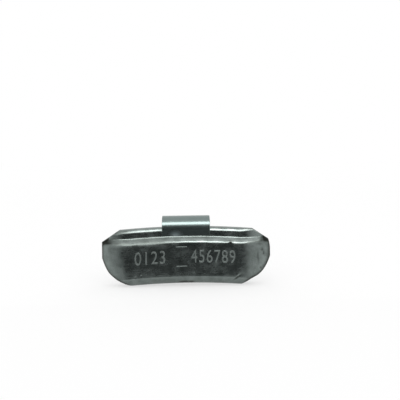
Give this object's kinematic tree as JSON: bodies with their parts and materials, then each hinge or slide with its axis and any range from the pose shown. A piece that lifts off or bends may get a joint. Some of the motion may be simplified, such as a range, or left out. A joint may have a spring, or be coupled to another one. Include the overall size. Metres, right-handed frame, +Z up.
{
  "type": "wheel balance weight",
  "caption": "Clip-on balance weight for a truck wheel: a curved cast lead bar with a bevel, a raised rib and rounded ends, and a bent spring steel clip that hooks over the rim flange.",
  "frame": {"origin": "on the floor under the middle of the box, with the weight standing on its lower edge", "axes": "+X along the rim, +Y from the front face towards the rim flange and the outer leg of the clip, +Z up, away from the wheel's axle"},
  "size_m": [0.083, 0.0222, 0.0332],
  "materials": {
    "cast_lead": "bare antimonial lead as it left the steel mould, satin with faint flow streaks",
    "plated_steel": "spring steel strip with bright bluish zinc plating"
  },
  "bodies": {
    "root": {"weight_body": "cast_lead", "spring_clip": "plated_steel"}
  },
  "joints": []
}
